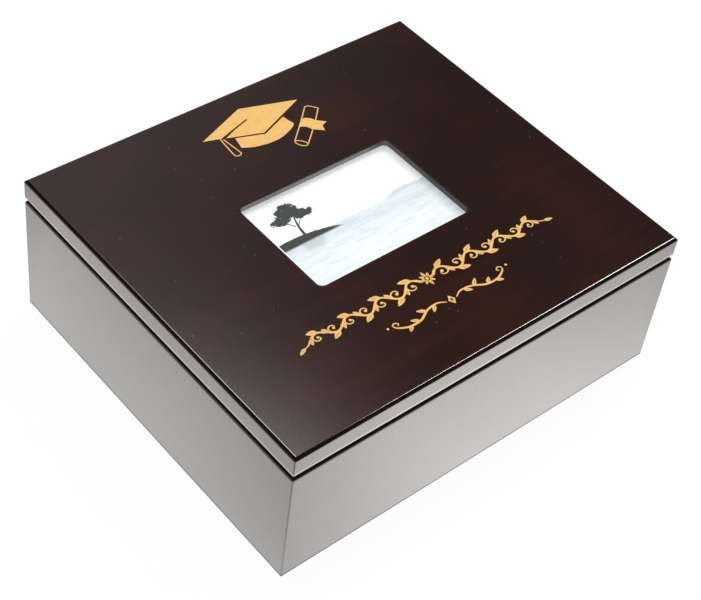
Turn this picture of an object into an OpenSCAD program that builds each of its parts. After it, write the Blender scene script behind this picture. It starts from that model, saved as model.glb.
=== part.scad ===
// Keepsake box with a picture window in its hinged lid.
// Millimetres. Origin: centre of the underside. +X runs along the front edge, +Y to the hinges, +Z up.

/* [Box] */
// Width of the lid along its front edge
box_w = 292; // [260:1:340]
// Depth of the lid from front face to back face
box_d = 254; // [225:1:300]
// Height of the closed box
box_h = 101.6; // [92:0.2:130]
// Gap between the lid and the rim of the case when the lid is shut
seam_gap = 0.3; // [0.2:0.1:0.6]
// How far the lid stands out past the case, all round
lid_overhang = 0; // [0:0.1:1]
// Rounding of the upright corners
corner_r = 0.8; // [0.4:0.1:1.5]

/* [Case] */
// Thickness of the four walls
wall_t = 12; // [10.5:0.5:15]
// Rounding of the outer edge of the rim
rim_r = 3.4; // [1:0.1:4]
// Rounding of the outer edge at the foot of the walls
foot_r = 0.6; // [0.3:0.1:1.2]
// Thickness of the bottom panel
bottom_t = 4; // [3:0.5:5]
// Thickness of the felt under the bottom panel
felt_t = 1; // [0.6:0.1:1.5]
// How far the bottom panel reaches into the walls
rebate_w = 6; // [4:0.5:8]

/* [Lid] */
// Thickness of the lid
lid_t = 15; // [14:0.5:18]
// Rounding of the upper edge of the lid
lid_top_r = 2.2; // [1:0.1:4]
// Rounding of the lower edge of the lid
lid_bottom_r = 2.4; // [0.8:0.1:3]

/* [Window] */
// Width of the picture window
window_w = 114.5; // [100:0.5:120]
// Depth of the picture window, front to back
window_d = 77; // [70:0.5:82]
// Rounding of the window's corners
window_r = 4; // [2:0.5:7]
// Rounding of the window's upper edge
window_edge_r = 0.4; // [0.3:0.1:1.4]
// Width of the picture print
print_w = 127; // [125:0.5:130]
// Depth of the picture print, front to back
print_d = 88.9; // [87:0.1:92]
// Room round the print in the pocket under the window
pocket_margin = 1.5; // [1.2:0.1:2.5]
// Rounding of the pocket's corners
pocket_r = 3; // [1.5:0.5:4]
// Thickness of the clear pane
pane_t = 2; // [1.5:0.1:2.5]
// Thickness of the picture print
print_t = 0.3; // [0.2:0.05:0.5]
// Thickness of the backing board
backing_t = 3.5; // [2:0.5:4]
// Depth of the recess in the underside that hides the turn buttons
recess_depth = 5; // [4:0.1:5.5]
// Width of the ledge round the pocket, in that recess
ledge_w = 13; // [12:0.5:16]
// Rounding of the recess's corners
recess_r = 6; // [4:0.5:8]

/* [Turn buttons] */
// Width of a turn button
button_w = 7.2; // [6:0.2:8]
// Length of a turn button
button_len = 15.2; // [14:0.2:17]
// Thickness of a turn button
button_t = 1.2; // [0.8:0.1:1.4]
// From the edge of the pocket to a turn button's screw
button_setback = 6; // [5:0.5:6.5]
// Distance between the two turn buttons on one side
button_pitch = 76; // [50:2:90]
// Radius of the turn button screws' shanks
button_screw_r = 1.1; // [0.9:0.1:1.3]
// Radius of their round heads
button_head_r = 2.3; // [1.9:0.1:2.6]
// Height of their round heads
button_head_h = 1.4; // [1:0.1:1.6]
// Length of those screws under the head
button_screw_len = 8; // [6:0.5:9]

/* [Linings] */
// Thickness of the velvet-covered cards in the case
lining_t = 1.5; // [1:0.1:2]
// Distance from the rim down to the top of the wall linings
lining_drop = 3; // [2:0.5:8]
// Thickness of the velvet-covered card under the lid
lid_lining_t = 1.2; // [0.8:0.1:1.5]
// Room between the lid's lining and the wall linings
lid_lining_gap = 2; // [1.5:0.5:4]
// Room between the lid's lining and the recess for the turn buttons
recess_border = 3; // [2:0.5:6]

/* [Hinges] */
// Length of a hinge
hinge_len = 32; // [26:1:40]
// From the side of the lid to the hinge
hinge_inset = 45; // [35:1:60]
// Thickness of a leaf
leaf_t = 1; // [0.8:0.1:1.2]
// How far a leaf reaches in from the lid's back face
leaf_depth = 9; // [8:0.5:10]
// Distance of the hinge axis behind the lid's back face
hinge_proud = 1; // [0.8:0.1:2]
// Outer radius of the knuckles
knuckle_r = 2; // [1.8:0.1:2.2]
// Radius of the hinge pins
hinge_pin_r = 0.85; // [0.7:0.05:1]
// Radius of the pins' riveted ends
pin_end_r = 1.5; // [1.2:0.1:1.6]
// Thickness of the pins' riveted ends
pin_end_t = 0.6; // [0.4:0.1:1]
// Radius of the hinge screws' shanks
hinge_screw_r = 1; // [0.8:0.1:1.1]
// Radius of the hinge screws' heads
hinge_head_r = 1.9; // [1.7:0.05:1.9]
// Length of the hinge screws
hinge_screw_len = 10; // [7:0.5:12]
// Distance between the screws of a leaf
hinge_screw_pitch = 19; // [14:0.5:20]

/* [Lid stay] */
// Angle at which the stay stops the lid
open_angle = 100; // [90:1:105]
// Depth of the rivet below the hinge axis
stay_drop = 6; // [5.8:0.1:7]
// Angle at the hinge axis between rivet and stud when the lid is shut
lead_angle = 12; // [11:0.5:14]
// Room between the hanging arm's tip and the lining on the floor
stay_floor_gap = 1.5; // [1:0.1:3]
// Width of the slotted arm
arm_w = 8.4; // [7.4:0.2:9]
// Thickness of the slotted arm
arm_t = 1.2; // [1:0.1:1.5]
// Radius of the stud's neck
stud_r = 1.6; // [1.3:0.1:1.8]
// Radius of the stud's head
stud_head_r = 3; // [2.6:0.1:3.3]
// Thickness of the stud's head
stud_head_t = 1.2; // [0.8:0.1:1.4]
// Radius of the rivet
rivet_r = 1.5; // [1.2:0.1:1.7]
// Radius of the rivet's heads
rivet_head_r = 2.4; // [2.1:0.1:2.8]
// Thickness of the rivet's heads
rivet_head_t = 0.5; // [0.4:0.1:0.7]
// Length of the plate that carries the stud
plate_len = 28; // [26:1:34]
// Height of that plate
plate_h = 9; // [8:0.5:9.5]
// Thickness of that plate
plate_t = 1.2; // [1.1:0.1:1.5]
// Distance between its screws
plate_screw_pitch = 19; // [17:0.5:20]
// Thickness of the lid bracket
bracket_t = 1.2; // [1.1:0.1:1.4]
// Inner radius of the lid bracket's bend
bend_r = 0.6; // [0.3:0.1:1]
// Width of the lid bracket's foot, across the lid
foot_w = 12; // [11:0.5:15]
// Length of the lid bracket's foot, front to back
foot_len = 22; // [20:1:28]
// Distance between its screws
foot_screw_pitch = 14; // [12:0.5:14]
// Width of the lid bracket's ear
ear_w = 7; // [6:0.2:7.2]
// Radius of the stay screws' shanks
stay_screw_r = 1.1; // [0.9:0.1:1.2]
// Radius of the stay screws' heads
stay_head_r = 2.1; // [1.9:0.1:2.1]
// Length of the stay screws
stay_screw_len = 9; // [7:0.5:10]

/* [Fits] */
// Room round a pin, on the radius
pin_clear = 0.05; // [0.03:0.01:0.08]
// Room round a screw in its hole, on the radius
screw_clear = 0.05; // [0.03:0.01:0.1]
// Gap between plates that slide past each other
slide_gap = 0.2; // [0.1:0.05:0.3]
// Room at each edge of a sheet or panel in its recess
panel_clear = 0.25; // [0.1:0.05:0.4]
// Room round the knuckles, on the radius
knuckle_clear = 0.3; // [0.2:0.05:0.4]

/* [Hidden] */
$fn = 64;
cut = 1;              // how far a cutter runs past the face that it opens

lacquer = [0.20, 0.12, 0.11];
brass = [0.80, 0.62, 0.30];
velvet = [0.09, 0.07, 0.07];

// Case
rim_z = box_h - lid_t - seam_gap;
lid_z = box_h - lid_t;
case_w = box_w - 2 * lid_overhang;
case_d = box_d - 2 * lid_overhang;
cavity_w = case_w - 2 * wall_t;
cavity_d = case_d - 2 * wall_t;
rebate_h = felt_t + bottom_t;
panel_w = cavity_w + 2 * rebate_w - 2 * panel_clear;
panel_d = cavity_d + 2 * rebate_w - 2 * panel_clear;
floor_z = rebate_h + lining_t;
lined_w = cavity_w - 2 * lining_t;
lined_d = cavity_d - 2 * lining_t;
wall_lining_h = rim_z - lining_drop - floor_z;

// Lid
pocket_w = print_w + 2 * pocket_margin;
pocket_d = print_d + 2 * pocket_margin;
recess_w = pocket_w + 2 * ledge_w;
recess_d = pocket_d + 2 * ledge_w;
ledge_z = lid_z + recess_depth;
backing_z = ledge_z + slide_gap / 2;
print_z = backing_z + backing_t;
pane_z = print_z + print_t;
pocket_z = pane_z + pane_t;
lid_lining_w = lined_w - 2 * lid_lining_gap;
lid_lining_d = lined_d - 2 * lid_lining_gap;

// Turn buttons
button_reach = button_len - button_w;
button_x = button_pitch / 2;
button_y = pocket_d / 2 + button_setback;
button_top = ledge_z - slide_gap;

// Hinges
axis_y = box_d / 2 + hinge_proud;
axis_z = rim_z + seam_gap / 2;
hinge_x = box_w / 2 - hinge_inset - hinge_len / 2;
knuckle_count = 5;
knuckle_pitch = hinge_len / knuckle_count;
knuckle_gap = slide_gap;
hinge_screw_y = box_d / 2 - leaf_depth / 2;

// Lid stay: rivet and stud lie at the same distance from the hinge axis, stay_reach, so the arm turns half
// as far as the lid. stay_hang is the upright from rivet to tip centre that the case has room for, and it
// sets how far in they lie.
stay_hang = axis_z - stay_drop - arm_w / 2 - stay_floor_gap - floor_z;
full_chord = 2 * sin((lead_angle + open_angle) / 2);
stay_setback = (stay_hang / full_chord + stay_drop * sin(lead_angle / 2)) / cos(lead_angle / 2);
stay_reach = sqrt(pow(stay_setback, 2) + pow(stay_drop, 2));
stay_tilt = atan(stay_drop / stay_setback);
rivet_y = axis_y - stay_setback;
rivet_z = axis_z - stay_drop;
stud_y = axis_y - stay_reach * cos(stay_tilt + lead_angle);
stud_z = axis_z - stay_reach * sin(stay_tilt + lead_angle);
arm_lean = stay_tilt + lead_angle / 2;
slot_start = 2 * stay_reach * sin(lead_angle / 2);
slot_end = stay_reach * full_chord;
slot_w = 2 * (stud_r + slide_gap);
plate_x = lined_w / 2 - plate_t;
arm_x = plate_x - slide_gap - arm_t;
ear_x = arm_x - slide_gap - bracket_t;
foot_z = lid_z - lid_lining_t - bracket_t;
foot_screw_x = ear_x + bracket_t - foot_w / 2 - bracket_t;

// A rectangle about the origin with corners rounded by true arcs.
module rounded_rect(w, d, r) {
    square([w - 2 * r, d], center = true);
    square([w, d - 2 * r], center = true);
    for (x = [-1, 1], y = [-1, 1])
        translate([x * (w / 2 - r), y * (d / 2 - r)]) circle(r);
}

// A bar with half-round ends that runs from the origin along +X.
module oblong(reach, w) {
    translate([0, -w / 2]) square([reach, w]);
    for (x = [0, reach])
        translate([x, 0]) circle(w / 2);
}

// The upright section of a slab that stands on y = 0, its upper and lower edges rounded.
module eased_section(w, h, top_r, bottom_r) {
    translate([-w / 2, bottom_r]) square([w, h - top_r - bottom_r]);
    translate([-w / 2 + top_r, bottom_r]) square([w - 2 * top_r, h - bottom_r]);
    translate([-w / 2 + bottom_r, 0]) square([w - 2 * bottom_r, h - top_r]);
    for (x = [-1, 1]) {
        translate([x * (w / 2 - top_r), h - top_r]) circle(top_r);
        translate([x * (w / 2 - bottom_r), bottom_r]) circle(bottom_r);
    }
}

// A slab on z = 0 with all its outer edges rounded.
module eased_slab(w, d, h, top_r, bottom_r) {
    intersection() {
        rotate([90, 0, 0])
            linear_extrude(d, center = true) eased_section(w, h, top_r, bottom_r);
        rotate([90, 0, 90])
            linear_extrude(w, center = true) eased_section(d, h, top_r, bottom_r);
        linear_extrude(h) rounded_rect(w, d, corner_r);
    }
}

// Lies on z = 0 and runs down from there: head, shank and point.
module countersunk_screw(shank_r, head_r, len) {
    head_h = head_r - shank_r;
    difference() {
        union() {
            translate([0, 0, -head_h]) cylinder(h = head_h, r1 = shank_r, r2 = head_r);
            translate([0, 0, -len + shank_r]) cylinder(h = len - shank_r - head_h, r = shank_r);
            translate([0, 0, -len]) cylinder(h = shank_r, r1 = shank_r / 4, r2 = shank_r);
        }
        cube([2 * head_r + cut, shank_r / 2, head_h], center = true);
    }
}

// The hole for that screw: countersink and pilot.
module countersunk_hole(shank_r, head_r, len) {
    hole_r = shank_r + screw_clear;
    mouth_r = head_r + screw_clear;
    sink_h = head_r - shank_r;
    translate([0, 0, -sink_h]) cylinder(h = sink_h, r1 = hole_r, r2 = mouth_r);
    translate([0, 0, -len - screw_clear]) cylinder(h = len + screw_clear, r = hole_r);
    cylinder(h = cut, r = mouth_r);
}

// Case walls --------------------------------------------------------------------------------------

module case_shell() {
    difference() {
        eased_slab(case_w, case_d, rim_z, rim_r, foot_r);
        translate([-cavity_w / 2, -cavity_d / 2, -cut]) cube([cavity_w, cavity_d, rim_z + 2 * cut]);
        translate([-cavity_w / 2 - rebate_w, -cavity_d / 2 - rebate_w, -cut])
            cube([cavity_w + 2 * rebate_w, cavity_d + 2 * rebate_w, rebate_h + cut]);
    }
}

// One side of the case between its two mitres: the side that lies towards -Y, turned about Z.
module mitred_side(turn, len, span) {
    out = len / 2 + cut;
    in = len / 2 - wall_t - cut;
    far = span / 2 + cut;
    near = span / 2 - wall_t - cut;
    intersection() {
        case_shell();
        rotate(turn)
            linear_extrude(rim_z) polygon([[-out, -far], [out, -far], [in, -near], [-in, -near]]);
    }
}

module front_wall() {
    color(lacquer) mitred_side(0, case_w, case_d);
}

module left_wall() {
    color(lacquer) mitred_side(-90, case_d, case_w);
}

module right_wall() {
    color(lacquer) difference() {
        mitred_side(90, case_d, case_w);
        stay_case_screw_places() countersunk_hole(stay_screw_r, stay_head_r, stay_screw_len);
    }
}

module back_wall() {
    color(lacquer) difference() {
        mitred_side(180, case_w, case_d);
        for (x = [-hinge_x, hinge_x]) translate([x, 0, 0]) {
            leaf_mortise(rim_z - leaf_t);
            knuckle_relief();
            hinge_screw_places() translate([0, 0, rim_z])
                countersunk_hole(hinge_screw_r, hinge_head_r, hinge_screw_len);
        }
    }
}

module bottom_panel() {
    color([0.24, 0.18, 0.14])
        translate([-panel_w / 2, -panel_d / 2, felt_t]) cube([panel_w, panel_d, bottom_t]);
}

module base_felt() {
    color(velvet) linear_extrude(felt_t) square([panel_w, panel_d], center = true);
}

// Linings -----------------------------------------------------------------------------------------

module floor_lining() {
    w = cavity_w - 2 * panel_clear;
    d = cavity_d - 2 * panel_clear;
    color(velvet) translate([0, 0, rebate_h]) linear_extrude(lining_t) rounded_rect(w, d, lining_t / 2);
}

// A card that stands on the floor lining with its back on y = 0, facing +Y.
module wall_card(len) {
    translate([-len / 2, 0, floor_z]) cube([len, lining_t, wall_lining_h]);
}

module front_lining() {
    color(velvet) translate([0, -cavity_d / 2, 0]) wall_card(cavity_w - 2 * panel_clear);
}

module back_lining() {
    color(velvet) translate([0, cavity_d / 2, 0]) rotate(180) wall_card(cavity_w - 2 * panel_clear);
}

module left_lining() {
    color(velvet) translate([-cavity_w / 2, 0, 0]) rotate(-90) wall_card(lined_d - 2 * panel_clear);
}

module right_lining() {
    color(velvet) difference() {
        translate([cavity_w / 2, 0, 0]) rotate(90) wall_card(lined_d - 2 * panel_clear);
        stay_case_screw_places() countersunk_hole(stay_screw_r, stay_head_r, stay_screw_len);
    }
}

// Hinges: the hinge of this section lies at x = 0 -------------------------------------------------

module along_axis() {
    translate([0, axis_y, axis_z]) rotate([0, 90, 0]) children();
}

// Every second knuckle, with the ends moved out by grow and the radius r.
module knuckle_row(first, r, grow) {
    for (i = [first : 2 : knuckle_count - 1])
        translate([(i + 0.5) * knuckle_pitch - hinge_len / 2, 0, 0])
            along_axis() cylinder(h = knuckle_pitch - knuckle_gap + 2 * grow, r = r, center = true);
}

// Room for the knuckles and the pin's ends in the wood behind and round them.
module knuckle_relief() {
    relief_len = hinge_len + 2 * (pin_end_t + knuckle_clear);
    along_axis() cylinder(h = relief_len, r = knuckle_r + knuckle_clear, center = true);
}

// The pocket for a leaf, one leaf thick from z upwards.
module leaf_mortise(z) {
    w = hinge_len + 2 * panel_clear;
    reach = leaf_depth + panel_clear;
    translate([-w / 2, box_d / 2 - reach, z]) cube([w, reach + cut, leaf_t]);
}

module hinge_screw_places() {
    for (x = [-1, 1]) translate([x * hinge_screw_pitch / 2, hinge_screw_y, 0]) children();
}

// A leaf whose plate lies from z upwards, with the knuckles that start at number first.
module hinge_leaf(first, z) {
    difference() {
        union() {
            difference() {
                translate([-hinge_len / 2, box_d / 2 - leaf_depth, z])
                    cube([hinge_len, leaf_depth + hinge_proud, leaf_t]);
                knuckle_row(1 - first, knuckle_r + knuckle_clear, knuckle_gap);
            }
            knuckle_row(first, knuckle_r, 0);
        }
        along_axis() cylinder(h = hinge_len + cut, r = hinge_pin_r + pin_clear, center = true);
    }
}

module case_leaf() {
    color(brass) difference() {
        hinge_leaf(0, rim_z - leaf_t);
        hinge_screw_places() translate([0, 0, rim_z])
            countersunk_hole(hinge_screw_r, hinge_head_r, leaf_t + cut);
    }
}

module lid_leaf() {
    color(brass) difference() {
        hinge_leaf(1, lid_z);
        hinge_screw_places() translate([0, 0, lid_z]) mirror([0, 0, 1])
            countersunk_hole(hinge_screw_r, hinge_head_r, leaf_t + cut);
    }
}

module hinge_pin() {
    color(brass) along_axis() {
        cylinder(h = hinge_len, r = hinge_pin_r, center = true);
        for (end = [0, 1]) mirror([0, 0, end])
            translate([0, 0, hinge_len / 2]) cylinder(h = pin_end_t, r1 = pin_end_r, r2 = hinge_pin_r);
    }
}

module hinge_case_screws() {
    color(brass) for (x = [-hinge_x, hinge_x])
        translate([x, 0, rim_z]) hinge_screw_places()
            countersunk_screw(hinge_screw_r, hinge_head_r, hinge_screw_len);
}

module hinge_lid_screws() {
    color(brass) for (x = [-hinge_x, hinge_x])
        translate([x, 0, lid_z]) hinge_screw_places() mirror([0, 0, 1])
            countersunk_screw(hinge_screw_r, hinge_head_r, hinge_screw_len);
}

// Lid ---------------------------------------------------------------------------------------------

// What the router takes off the window's upper edge.
module window_edge_cove() {
    module cove() {
        difference() {
            translate([-cut, -window_edge_r]) square([window_edge_r + cut, window_edge_r + cut]);
            translate([window_edge_r, -window_edge_r]) circle(window_edge_r);
        }
    }
    run_w = window_w - 2 * window_r;
    run_d = window_d - 2 * window_r;
    translate([0, 0, box_h]) for (side = [0, 1]) rotate(180 * side) {
        translate([window_w / 2, 0, 0]) rotate([90, 0, 0]) linear_extrude(run_d, center = true) cove();
        translate([0, window_d / 2, 0]) rotate([90, 0, 90]) linear_extrude(run_w, center = true) cove();
        for (corner = [0, 1])
            translate([(1 - 2 * corner) * run_w / 2, run_d / 2, 0]) rotate(90 * corner)
                rotate_extrude(angle = 90) translate([window_r, 0]) cove();
    }
}

module lid_panel() {
    color(lacquer) difference() {
        translate([0, 0, lid_z]) eased_slab(box_w, box_d, lid_t, lid_top_r, lid_bottom_r);
        translate([0, 0, lid_z - cut])
            linear_extrude(lid_t + 2 * cut) rounded_rect(window_w, window_d, window_r);
        window_edge_cove();
        translate([0, 0, lid_z - cut])
            linear_extrude(pocket_z - lid_z + cut) rounded_rect(pocket_w, pocket_d, pocket_r);
        translate([0, 0, lid_z - cut])
            linear_extrude(recess_depth + cut) rounded_rect(recess_w, recess_d, recess_r);
        for (x = [-hinge_x, hinge_x]) translate([x, 0, 0]) {
            leaf_mortise(lid_z);
            knuckle_relief();
            hinge_screw_places() translate([0, 0, lid_z]) mirror([0, 0, 1])
                countersunk_hole(hinge_screw_r, hinge_head_r, hinge_screw_len);
        }
        stay_lid_screw_places() countersunk_hole(stay_screw_r, stay_head_r, stay_screw_len);
        turn_button_places() translate([0, 0, button_top - button_t - slide_gap])
            cylinder(h = button_screw_len + screw_clear, r = button_screw_r + screw_clear);
    }
}

// A sheet that lies in the pocket with its underside at z.
module pocket_sheet(z, t) {
    translate([0, 0, z]) linear_extrude(t)
        rounded_rect(pocket_w - 2 * panel_clear, pocket_d - 2 * panel_clear, pocket_r);
}

module window_pane() {
    color([0.85, 0.92, 0.95, 0.4]) pocket_sheet(pane_z, pane_t);
}

module picture_print() {
    color([0.93, 0.95, 0.96])
        translate([0, 0, print_z]) linear_extrude(print_t) square([print_w, print_d], center = true);
}

module backing_board() {
    color([0.35, 0.27, 0.20]) pocket_sheet(backing_z, backing_t);
}

module lid_lining() {
    hole_w = recess_w + 2 * recess_border;
    hole_d = recess_d + 2 * recess_border;
    color(velvet) difference() {
        translate([0, 0, lid_z - lid_lining_t]) linear_extrude(lid_lining_t) difference() {
            rounded_rect(lid_lining_w, lid_lining_d, lining_t);
            rounded_rect(hole_w, hole_d, recess_r + recess_border);
        }
        stay_lid_screw_places() countersunk_hole(stay_screw_r, stay_head_r, stay_screw_len);
    }
}

// Turn buttons ------------------------------------------------------------------------------------

// The four screw places; +X of each child points at the middle of the pocket's nearest edge.
module turn_button_places() {
    for (x = [-1, 1], y = [-1, 1]) turn_button_place(x, y) children();
}

module turn_button_place(x, y) {
    translate([x * button_x, y * button_y, 0]) rotate(-90 * y) children();
}

module turn_button(x, y) {
    color(brass) turn_button_place(x, y)
        translate([0, 0, button_top - button_t]) linear_extrude(button_t) difference() {
            oblong(button_reach, button_w);
            circle(button_screw_r + pin_clear);
        }
}

// Round heads under the buttons; the shanks go up into the lid.
module turn_button_screws() {
    head_top = button_top - button_t - slide_gap;
    dome_r = (pow(button_head_r, 2) + pow(button_head_h, 2)) / (2 * button_head_h);
    color(brass) turn_button_places() translate([0, 0, head_top]) {
        cylinder(h = button_screw_len - button_screw_r, r = button_screw_r);
        translate([0, 0, button_screw_len - button_screw_r])
            cylinder(h = button_screw_r, r1 = button_screw_r, r2 = button_screw_r / 4);
        difference() {
            translate([0, 0, -button_head_h]) intersection() {
                cylinder(h = button_head_h, r = button_head_r);
                translate([0, 0, dome_r]) sphere(dome_r);
            }
            translate([0, 0, -button_head_h])
                cube([2 * button_head_r + cut, button_screw_r / 2, button_head_h], center = true);
        }
    }
}

// Lid stay ----------------------------------------------------------------------------------------

module stay_case_screw_places() {
    for (y = [-1, 1])
        translate([plate_x, stud_y + y * plate_screw_pitch / 2, stud_z]) rotate([0, -90, 0]) children();
}

module stay_lid_screw_places() {
    for (y = [-1, 1])
        translate([foot_screw_x, rivet_y + y * foot_screw_pitch / 2, foot_z]) rotate([180, 0, 0]) children();
}

module stay_case_plate() {
    color(brass) difference() {
        translate([plate_x, stud_y - (plate_len - plate_h) / 2, stud_z])
            rotate([90, 0, 90]) linear_extrude(plate_t) oblong(plate_len - plate_h, plate_h);
        stay_case_screw_places() countersunk_hole(stay_screw_r, stay_head_r, plate_t + cut);
        translate([plate_x - cut, stud_y, stud_z]) rotate([0, 90, 0])
            cylinder(h = plate_t + 2 * cut, r = stud_r + screw_clear);
    }
}

module stay_stud() {
    color(brass) translate([plate_x + plate_t, stud_y, stud_z]) rotate([0, -90, 0]) {
        cylinder(h = plate_t + arm_t + 2 * slide_gap, r = stud_r);
        translate([0, 0, plate_t + arm_t + 2 * slide_gap]) cylinder(h = stud_head_t, r = stud_head_r);
    }
}

module stay_case_screws() {
    color(brass) stay_case_screw_places() countersunk_screw(stay_screw_r, stay_head_r, stay_screw_len);
}

// The slotted arm: it hangs from the rivet and the stud stands in its slot.
module stay_arm() {
    slot_len = slot_end - slot_start + 2 * slide_gap;
    color(brass) translate([arm_x, rivet_y, rivet_z]) rotate([90, 0, 90]) rotate(arm_lean - 90)
        linear_extrude(arm_t) difference() {
            oblong(slot_end, arm_w);
            circle(rivet_r + pin_clear);
            translate([slot_start - slide_gap, 0]) oblong(slot_len, slot_w);
        }
}

// A strip bent down through a right angle: the foot lies under the lid, the ear carries the rivet.
module stay_lid_bracket() {
    out_r = bend_r + bracket_t;
    flat_w = foot_w - out_r;
    bend_x = ear_x - bend_r;
    bend_z = foot_z - bend_r;
    color(brass) difference() {
        union() {
            translate([bend_x - flat_w, rivet_y - foot_len / 2, foot_z]) cube([flat_w, foot_len, bracket_t]);
            translate([bend_x, rivet_y + ear_w / 2, bend_z])
                rotate([90, 0, 0]) linear_extrude(ear_w) difference() {
                    intersection() {
                        circle(out_r);
                        square(out_r);
                    }
                    circle(bend_r);
                }
            translate([ear_x, rivet_y - ear_w / 2, rivet_z]) cube([bracket_t, ear_w, bend_z - rivet_z]);
            translate([ear_x, rivet_y, rivet_z]) rotate([0, 90, 0]) cylinder(h = bracket_t, r = ear_w / 2);
        }
        translate([ear_x - cut, rivet_y, rivet_z]) rotate([0, 90, 0])
            cylinder(h = bracket_t + 2 * cut, r = rivet_r + screw_clear);
        stay_lid_screw_places() countersunk_hole(stay_screw_r, stay_head_r, bracket_t + cut);
    }
}

module stay_rivet() {
    shank = bracket_t + slide_gap + arm_t + slide_gap / 2;
    color(brass) translate([ear_x, rivet_y, rivet_z]) rotate([0, 90, 0]) {
        cylinder(h = shank, r = rivet_r);
        translate([0, 0, -rivet_head_t]) cylinder(h = rivet_head_t, r = rivet_head_r);
        translate([0, 0, shank]) cylinder(h = rivet_head_t, r = rivet_head_r);
    }
}

module stay_lid_screws() {
    color(brass) stay_lid_screw_places() countersunk_screw(stay_screw_r, stay_head_r, stay_screw_len);
}

front_wall();
back_wall();
left_wall();
right_wall();
bottom_panel();
base_felt();
floor_lining();
front_lining();
back_lining();
left_lining();
right_lining();
translate([-hinge_x, 0, 0]) case_leaf();  // hinge_left_case_leaf
translate([hinge_x, 0, 0]) case_leaf();  // hinge_right_case_leaf
translate([-hinge_x, 0, 0]) hinge_pin();  // hinge_left_pin
translate([hinge_x, 0, 0]) hinge_pin();  // hinge_right_pin
hinge_case_screws();
stay_case_plate();
stay_stud();
stay_case_screws();
lid_panel();
window_pane();
picture_print();
backing_board();
lid_lining();
translate([-hinge_x, 0, 0]) lid_leaf();  // hinge_left_lid_leaf
translate([hinge_x, 0, 0]) lid_leaf();  // hinge_right_lid_leaf
hinge_lid_screws();
stay_lid_bracket();
stay_rivet();
stay_lid_screws();
turn_button_screws();
stay_arm();
turn_button(-1, -1);  // turn_button_front_left
turn_button(1, -1);  // turn_button_front_right
turn_button(-1, 1);  // turn_button_back_left
turn_button(1, 1);  // turn_button_back_right
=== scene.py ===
import math

import bmesh
import bpy
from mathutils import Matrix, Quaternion, Vector, geometry, noise


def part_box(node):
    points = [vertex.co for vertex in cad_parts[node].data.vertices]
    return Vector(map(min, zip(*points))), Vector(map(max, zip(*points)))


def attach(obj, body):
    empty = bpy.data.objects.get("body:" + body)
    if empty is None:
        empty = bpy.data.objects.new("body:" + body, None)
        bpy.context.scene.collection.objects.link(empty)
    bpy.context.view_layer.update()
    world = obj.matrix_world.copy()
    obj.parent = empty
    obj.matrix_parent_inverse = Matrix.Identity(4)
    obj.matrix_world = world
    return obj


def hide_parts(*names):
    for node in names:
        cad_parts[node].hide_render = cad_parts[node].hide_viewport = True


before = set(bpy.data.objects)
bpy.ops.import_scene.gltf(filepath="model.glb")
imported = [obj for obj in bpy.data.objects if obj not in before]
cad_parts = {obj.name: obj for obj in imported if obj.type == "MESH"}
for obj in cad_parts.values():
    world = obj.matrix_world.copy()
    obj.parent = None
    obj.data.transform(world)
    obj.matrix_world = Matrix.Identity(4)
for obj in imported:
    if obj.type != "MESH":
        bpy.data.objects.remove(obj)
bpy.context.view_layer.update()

# Camera -------------------------------------------------------------------------------------------
# A long lens above the front left corner, turned a little, so that the lid fills the upper half of
# the picture. Its place, aim, turn and shift come from the box's corners in the photograph.
picture_w = 701
picture_h = 600
focal_px = 1678.03
lens_axis_px = Vector((350.62, 287.45))
camera_place = Vector((-0.5191, -0.5120, 0.7661))
camera_aim = Vector((-0.0065, -0.0120, 0.0500))
camera_turn = math.radians(8.272)

lens = bpy.data.cameras.new("lens")
lens.sensor_width = 36
lens.lens = focal_px / picture_w * lens.sensor_width
lens.shift_x = (picture_w / 2 - lens_axis_px.x) / picture_w
lens.shift_y = (lens_axis_px.y - picture_h / 2) / picture_w
camera = bpy.data.objects.new("camera", lens)
camera.location = camera_place
camera.rotation_mode = "QUATERNION"
looking = (camera_aim - camera_place).to_track_quat("-Z", "Y")
camera.rotation_quaternion = looking @ Quaternion((0, 0, 1), camera_turn)
bpy.context.scene.collection.objects.link(camera)
bpy.context.scene.camera = camera
bpy.context.scene.view_settings.view_transform = "Standard"


# Case walls ---------------------------------------------------------------------------------------
# Four mitred boards of fine-grained hardwood, glued and pinned, stained dark red-brown and lacquered
# to a mirror gloss. The grain runs along each board. Near the edges the colour is painted nearly
# black as shade, standing for the dark room that the rounded edges mirror.
class Socket:
    """An output of a shader node. Arithmetic on it puts Math nodes behind it."""

    def __init__(self, finish, socket):
        self.finish = finish
        self.socket = socket

    def out(self, name):
        """Another output of the same node."""
        return Socket(self.finish, self.socket.node.outputs[name])

    def math(self, operation, *values):
        return self.finish.node("ShaderNodeMath", {"operation": operation}, dict(enumerate(values)))

    def __add__(self, other):
        return self.math("ADD", self, other)

    def __sub__(self, other):
        return self.math("SUBTRACT", self, other)

    def __rsub__(self, other):
        return self.math("SUBTRACT", other, self)

    def __mul__(self, other):
        return self.math("MULTIPLY", self, other)

    def __abs__(self):
        return self.math("ABSOLUTE", self)

    __radd__ = __add__
    __rmul__ = __mul__

    def least(self, other):
        return self.math("MINIMUM", self, other)

    def most(self, other):
        return self.math("MAXIMUM", self, other)

    def ramp(self, start, end):
        """0 at start, 1 at end and smooth between. The start may be the larger."""
        limits = {"Value": self, "From Min": start, "From Max": end}
        return self.finish.node("ShaderNodeMapRange", {"interpolation_type": "SMOOTHSTEP"}, limits)


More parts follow.
